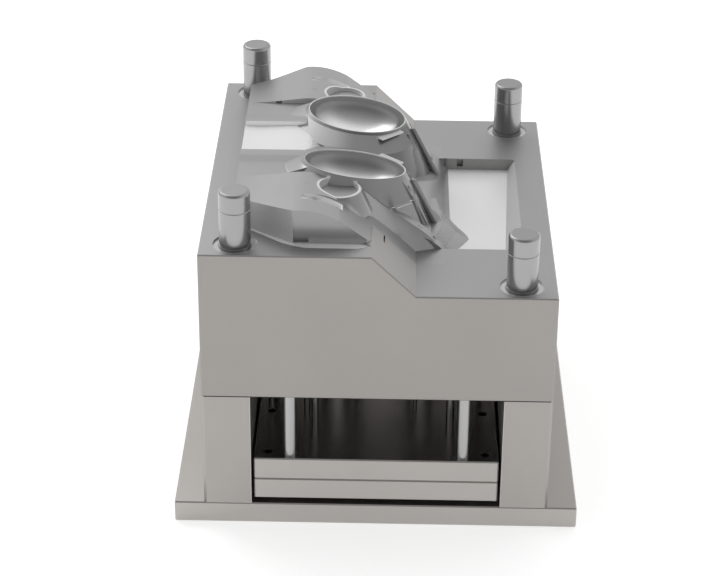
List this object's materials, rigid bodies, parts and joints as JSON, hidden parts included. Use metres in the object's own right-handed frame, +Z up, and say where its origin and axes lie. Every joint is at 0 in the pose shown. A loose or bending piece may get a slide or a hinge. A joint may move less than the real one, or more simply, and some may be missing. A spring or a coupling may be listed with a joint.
{
  "type": "headlamp mould core half",
  "caption": "Moving half of an injection mould with left and right headlamp cores on a stepped block, tall guide pins, and an ejector box with sliding plates.",
  "frame": {"origin": "middle of the clamp plate's underside", "axes": "+Z up, the direction in which the mould opens; +X from the high land to the low land; +Y to the back of the mould, along the row of the two lamps"},
  "size_m": [0.88, 0.9, 0.784],
  "materials": {
    "plate_steel": "ground",
    "mould_face": "polished",
    "ground_pins": "polished",
    "bush": "satin",
    "screws": "black oxide"
  },
  "bodies": {
    "base": {"clamp_plate": "plate_steel", "spacer_left": "plate_steel", "spacer_right": "plate_steel", "core_plate": "plate_steel", "core_insert_front": "mould_face", "core_insert_back": "mould_face", "guide_pin_1": "ground_pins", "guide_pin_2": "ground_pins", "guide_pin_3": "ground_pins", "guide_pin_4": "ground_pins", "ejector_guide_post_1": "ground_pins", "ejector_guide_post_2": "ground_pins", "ejector_guide_post_3": "ground_pins", "ejector_guide_post_4": "ground_pins", "support_pillar_1": "plate_steel", "support_pillar_2": "plate_steel", "support_pillar_3": "plate_steel", "support_pillar_4": "plate_steel", "stop_buttons": "plate_steel", "clamp_bolts": "screws", "dowel_pins": "ground_pins", "core_insert_screws": "screws", "support_pillar_screws": "screws"},
    "ejector": {"ejector_base_plate": "plate_steel", "ejector_retainer_plate": "plate_steel", "return_pin_1": "ground_pins", "return_pin_2": "ground_pins", "return_pin_3": "ground_pins", "return_pin_4": "ground_pins", "ejector_pin_front_1": "ground_pins", "ejector_pin_front_2": "ground_pins", "ejector_pin_front_3": "ground_pins", "ejector_pin_front_4": "ground_pins", "ejector_pin_front_5": "ground_pins", "ejector_pin_front_6": "ground_pins", "ejector_pin_back_1": "ground_pins", "ejector_pin_back_2": "ground_pins", "ejector_pin_back_3": "ground_pins", "ejector_pin_back_4": "ground_pins", "ejector_pin_back_5": "ground_pins", "ejector_pin_back_6": "ground_pins", "ejector_guide_bush_1": "bush", "ejector_guide_bush_2": "bush", "ejector_guide_bush_3": "bush", "ejector_guide_bush_4": "bush", "ejector_plate_screws": "screws"}
  },
  "joints": [
    {"name": "ejector_stroke", "type": "slide", "parent": "base", "child": "ejector", "axis": [0, 0, 1], "range_m": [0, 0.1]}
  ]
}
